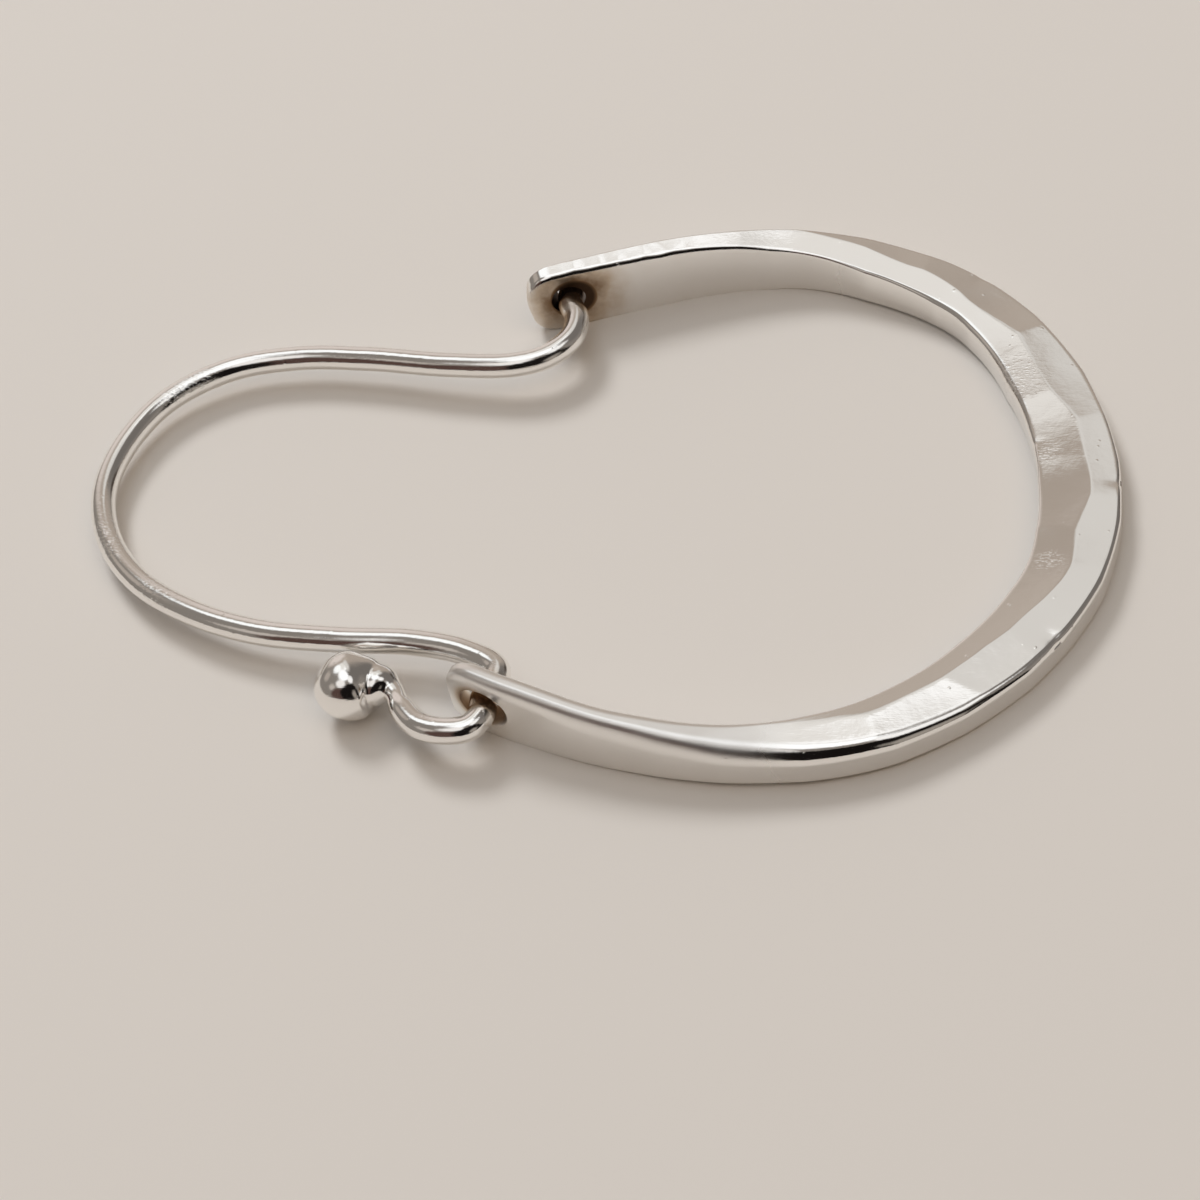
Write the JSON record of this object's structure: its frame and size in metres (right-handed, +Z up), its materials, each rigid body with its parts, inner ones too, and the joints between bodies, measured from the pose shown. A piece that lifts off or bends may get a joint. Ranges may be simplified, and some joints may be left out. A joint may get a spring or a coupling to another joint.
{
  "type": "hoop earring",
  "caption": "Hammered silver hoop earring: an open forged hoop with drilled flat ends, hung on a bent ear wire that swings in them and latches.",
  "frame": {"origin": "under the middle of the earring's overall box, on the surface that it lies on", "axes": "+X along the length towards the hoop's belly, +Y across towards the plain latch end, +Z up from the surface, across the hoop's plane"},
  "size_m": [0.0412, 0.0268, 0.0031],
  "materials": {
    "hoop_silver": "sterling silver, hammered and polished, with soft scratches",
    "wire_silver": "round sterling silver wire, polished, with a melted ball on one end"
  },
  "bodies": {
    "hoop_body": {"hoop": "hoop_silver"},
    "ear_wire_body": {"ear_wire": "wire_silver"}
  },
  "joints": [
    {"name": "ear_wire_swing", "type": "hinge", "parent": "hoop_body", "child": "ear_wire_body", "pos_m": [-0.00225, -0.00024, 0.00155], "axis": [0, 1, 0], "range_deg": [-120, 120]}
  ]
}
